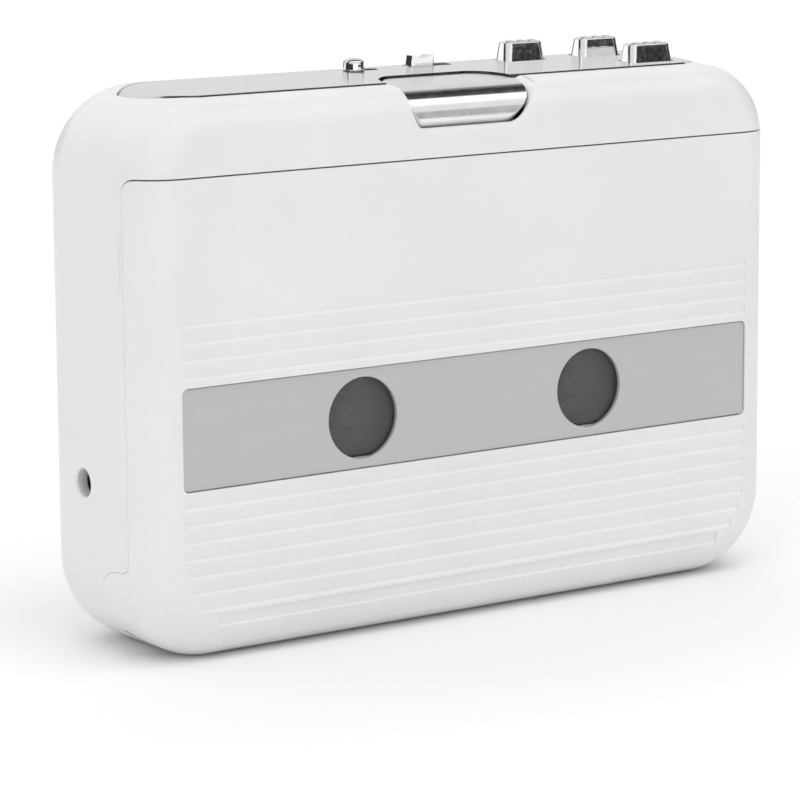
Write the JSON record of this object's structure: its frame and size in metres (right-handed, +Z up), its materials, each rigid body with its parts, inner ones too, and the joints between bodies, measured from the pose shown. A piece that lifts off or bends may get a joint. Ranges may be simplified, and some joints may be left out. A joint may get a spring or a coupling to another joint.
{
  "type": "cassette player",
  "caption": "Portable cassette player: rounded white case, bottom-hinged window door, chrome keys along the top, tape mechanism inside.",
  "frame": {"origin": "centre of the footprint, on the bottom face the player stands on", "axes": "+X across the front towards the keys' end, +Y from the door to the back, +Z up"},
  "size_m": [0.119, 0.0316, 0.0862],
  "materials": {
    "shell": "white satin-gloss moulded plastic",
    "inner": "white matte plastic",
    "silver": "fine horizontal brushed silver trim",
    "smoke": "smoked clear window",
    "chrome": "mirror plating on plastic",
    "steel": "plain sheet and turned steel",
    "brass": "turned brass",
    "dark": "dark grey plastic",
    "black": "black rubber and moulded resin",
    "board": "green lacquered circuit board",
    "white_gear": "natural acetal"
  },
  "bodies": {
    "case": {"cabinet": "shell", "back_cover": "shell", "battery_tray": "inner", "hinge_pin_left": "steel", "hinge_pin_right": "steel", "latch_pin": "steel", "top_plate": "chrome", "post_contacts": "steel", "switch_contacts": "steel", "chassis": "inner", "idler_pin": "steel", "capstan_bushing": "brass", "motor": "steel", "drive_belt": "black", "main_board": "board", "amp_chip": "black", "capacitor_1": "dark", "capacitor_2": "dark", "dc_jack": "black", "phone_jack": "black", "audio_board": "board", "volume_pot": "steel", "cell_contact": "steel", "cell_spring": "steel", "case_screw_1": "steel", "chassis_screw_1": "steel", "case_screw_2": "steel", "chassis_screw_2": "steel", "case_screw_3": "steel", "chassis_screw_3": "steel", "case_screw_4": "steel", "chassis_screw_4": "steel"},
    "door": {"door_shell": "shell", "door_strip": "silver", "door_lens": "smoke", "cassette_carrier": "inner", "cassette_spring": "steel"},
    "open_button": {"open_button": "chrome"},
    "latch_hook": {"latch_hook": "dark"},
    "key_play": {"key_play": "chrome"},
    "key_forward": {"key_forward": "chrome"},
    "key_stop": {"key_stop": "chrome"},
    "slide_post": {"slide_post": "chrome"},
    "slide_switch": {"slide_switch": "chrome"},
    "battery_cover": {"battery_cover": "shell"},
    "reel_supply": {"reel_supply": "dark"},
    "reel_takeup": {"reel_takeup": "dark"},
    "flywheel": {"flywheel": "brass", "capstan_shaft": "steel"},
    "motor_pulley": {"motor_pulley": "brass"},
    "idler_gear": {"idler_gear": "white_gear"},
    "carriage": {"head_carriage": "steel", "tape_head": "steel", "pinch_axle": "steel"},
    "pinch_roller": {"pinch_roller": "black"},
    "volume_wheel": {"volume_wheel": "dark"}
  },
  "joints": [
    {"name": "door_hinge", "type": "hinge", "parent": "case", "child": "door", "pos_m": [0, -0.00825, 0.0075], "axis": [1, 0, 0], "range_deg": [0, 35]},
    {"name": "open_press", "type": "slide", "parent": "case", "child": "open_button", "axis": [0, 0.7071, -0.7071], "range_m": [0, 0.0016], "stiffness_N_per_m": 400, "springref_m": -0.0015},
    {"name": "hook_turn", "type": "hinge", "parent": "case", "child": "latch_hook", "pos_m": [-0.0159, -0.00675, 0.0713], "axis": [1, 0, 0], "range_deg": [-20, 0]},
    {"name": "play_press", "type": "slide", "parent": "case", "child": "key_play", "axis": [0, 0, -1], "range_m": [0, 0.003], "stiffness_N_per_m": 300, "springref_m": -0.002},
    {"name": "forward_press", "type": "slide", "parent": "case", "child": "key_forward", "axis": [0, 0, -1], "range_m": [0, 0.0025], "stiffness_N_per_m": 300, "springref_m": -0.002},
    {"name": "stop_press", "type": "slide", "parent": "case", "child": "key_stop", "axis": [0, 0, -1], "range_m": [0, 0.0025], "stiffness_N_per_m": 300, "springref_m": -0.002},
    {"name": "post_slide", "type": "slide", "parent": "case", "child": "slide_post", "axis": [1, 0, 0], "range_m": [0, 0.003]},
    {"name": "switch_slide", "type": "slide", "parent": "case", "child": "slide_switch", "axis": [1, 0, 0], "range_m": [0, 0.003]},
    {"name": "battery_cover_slide", "type": "slide", "parent": "case", "child": "battery_cover", "axis": [0, 0, -1], "range_m": [0, 0.018]},
    {"name": "supply_spin", "type": "hinge", "parent": "case", "child": "reel_supply", "pos_m": [-0.02125, 0.00125, 0.03355], "axis": [0, 1, 0], "continuous": true},
    {"name": "takeup_spin", "type": "hinge", "parent": "case", "child": "reel_takeup", "pos_m": [0.02125, 0.00125, 0.03355], "axis": [0, 1, 0], "continuous": true},
    {"name": "flywheel_spin", "type": "hinge", "parent": "case", "child": "flywheel", "pos_m": [0.0275, 0.00825, 0.0646], "axis": [0, 1, 0], "continuous": true},
    {"name": "motor_spin", "type": "hinge", "parent": "case", "child": "motor_pulley", "pos_m": [-0.031, 0.01025, 0.057], "axis": [0, 1, 0], "continuous": true},
    {"name": "idler_spin", "type": "hinge", "parent": "case", "child": "idler_gear", "pos_m": [0.02837, 0.00225, 0.05063], "axis": [0, 1, 0], "continuous": true},
    {"name": "carriage_slide", "type": "slide", "parent": "case", "child": "carriage", "axis": [0, 0, -1], "range_m": [0, 0.003]},
    {"name": "pinch_spin", "type": "hinge", "parent": "carriage", "child": "pinch_roller", "pos_m": [0.0275, -0.00675, 0.0734], "axis": [0, 1, 0], "continuous": true},
    {"name": "volume_turn", "type": "hinge", "parent": "case", "child": "volume_wheel", "pos_m": [0.0512, 0.00325, 0.04], "axis": [0, 1, 0], "range_deg": [-130, 130]}
  ],
  "couplings": [
    {"joint": "hook_turn", "follows": "open_press", "rad_per_m": -202},
    {"joint": "carriage_slide", "follows": "play_press", "ratio": 1},
    {"joint": "motor_spin", "follows": "flywheel_spin", "ratio": 3.8571},
    {"joint": "idler_spin", "follows": "flywheel_spin", "ratio": -0.33333},
    {"joint": "takeup_spin", "follows": "flywheel_spin", "ratio": 0.4375}
  ]
}
